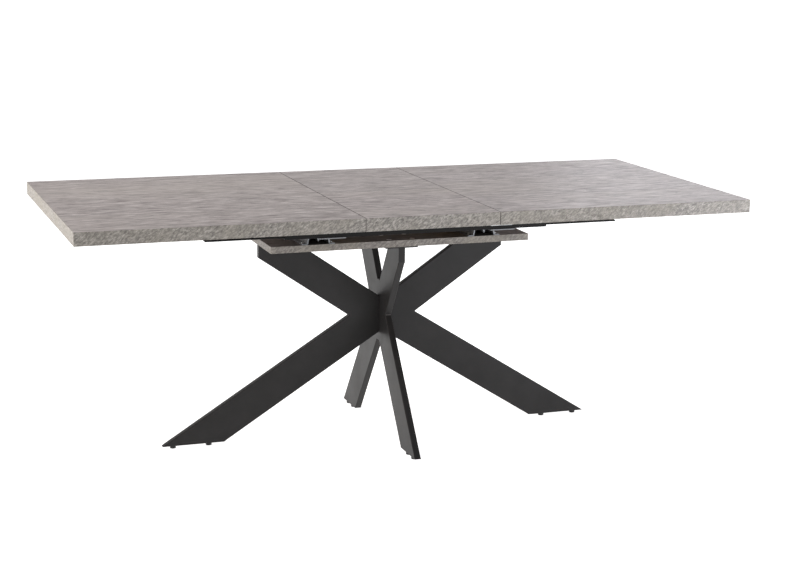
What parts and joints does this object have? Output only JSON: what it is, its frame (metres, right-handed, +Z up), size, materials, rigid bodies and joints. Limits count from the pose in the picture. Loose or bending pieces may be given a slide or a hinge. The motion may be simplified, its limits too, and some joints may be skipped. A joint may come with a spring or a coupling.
{
  "type": "extendable dining table",
  "caption": "Extendable dining table: sliding top halves with a folding centre leaf, on chevron legs of flat tube that cross under a fixed sub-top.",
  "frame": {"origin": "on the floor, under the middle of the extended table", "axes": "+X along the table's length, +Y across it towards the rear, +Z up"},
  "size_m": [2, 0.9, 0.75],
  "materials": {
    "wood_decor": "matt grey wood-grain laminate",
    "sub_top_decor": "matt grey laminate",
    "edge_decor": "matt mottled grey edge band",
    "raw_board": "raw chipboard",
    "powder_coat": "matt anthracite powder coat",
    "fastener_steel": "zinc plated",
    "beam_steel": "grey painted sheet steel",
    "rail_black": "black painted",
    "glide_plastic": "matt black",
    "nylon": "natural nylon",
    "hinge_metal": "satin brass"
  },
  "bodies": {
    "pedestal": {"bearer_rivets": "fastener_steel", "centre_post": "powder_coat", "cross_beam_screws": "fastener_steel", "floor_glides": "glide_plastic", "front_fixed_rail": "rail_black", "front_leg_lower_arm": "powder_coat", "front_leg_upper_arm": "powder_coat", "left_cross_beam": "beam_steel", "left_leg_lower_arm": "powder_coat", "left_leg_upper_arm": "powder_coat", "left_rail_bearer": "beam_steel", "leg_bolts": "fastener_steel", "leg_end_caps": "powder_coat", "leg_top_plates": "powder_coat", "rear_fixed_rail": "rail_black", "rear_leg_lower_arm": "powder_coat", "rear_leg_upper_arm": "powder_coat", "right_cross_beam": "beam_steel", "right_leg_lower_arm": "powder_coat", "right_leg_upper_arm": "powder_coat", "right_rail_bearer": "beam_steel", "sub_top_board": "sub_top_decor", "sub_top_edge_bands": "edge_decor", "sync_pinion_pin": "fastener_steel", "sync_plate": "beam_steel"},
    "left_top": {"left_edge_bands": "edge_decor", "left_front_moving_rail": "rail_black", "left_leaf_ledges": "beam_steel", "left_ledge_screws": "fastener_steel", "left_rack_screws": "fastener_steel", "left_rail_packers": "raw_board", "left_rail_screws": "fastener_steel", "left_rail_shoes": "nylon", "left_rear_moving_rail": "rail_black", "left_rim_strips": "raw_board", "left_sync_rack": "nylon", "left_top_board": "wood_decor"},
    "right_top": {"right_edge_bands": "edge_decor", "right_front_moving_rail": "rail_black", "right_leaf_ledges": "beam_steel", "right_ledge_screws": "fastener_steel", "right_rack_screws": "fastener_steel", "right_rail_packers": "raw_board", "right_rail_screws": "fastener_steel", "right_rail_shoes": "nylon", "right_rear_moving_rail": "rail_black", "right_rim_strips": "raw_board", "right_sync_rack": "nylon", "right_top_board": "wood_decor"},
    "leaf_front": {"leaf_front_board": "wood_decor", "leaf_front_edge_bands": "edge_decor", "leaf_front_hinge_barrels": "hinge_metal", "leaf_front_rim_strips": "raw_board"},
    "leaf_rear": {"leaf_rear_board": "wood_decor", "leaf_rear_edge_bands": "edge_decor", "leaf_rear_hinge_barrels": "hinge_metal", "leaf_rear_rim_strips": "raw_board"},
    "sync_pinion": {"sync_pinion": "nylon"}
  },
  "joints": [
    {"name": "left_top_slide", "type": "slide", "parent": "pedestal", "child": "left_top", "axis": [1, 0, 0], "range_m": [0, 0.2]},
    {"name": "right_top_slide", "type": "slide", "parent": "pedestal", "child": "right_top", "axis": [-1, 0, 0], "range_m": [0, 0.2]},
    {"name": "sync_pinion_turn", "type": "hinge", "parent": "pedestal", "child": "sync_pinion", "pos_m": [0, 0.262, 0.695], "axis": [0, 0, 1], "continuous": true},
    {"name": "leaf_lift", "type": "slide", "parent": "pedestal", "child": "leaf_front", "axis": [0, 0, 1], "range_m": [0, 0.5]},
    {"name": "leaf_fold", "type": "hinge", "parent": "leaf_front", "child": "leaf_rear", "pos_m": [0, 0, 0.7503], "axis": [1, 0, 0], "range_deg": [0, 180]}
  ],
  "couplings": [
    {"joint": "right_top_slide", "follows": "left_top_slide", "ratio": 1},
    {"joint": "sync_pinion_turn", "follows": "left_top_slide", "rad_per_m": 83.333},
    {"joint": "leaf_lift", "follows": "left_top_slide", "ratio": 2.5}
  ]
}
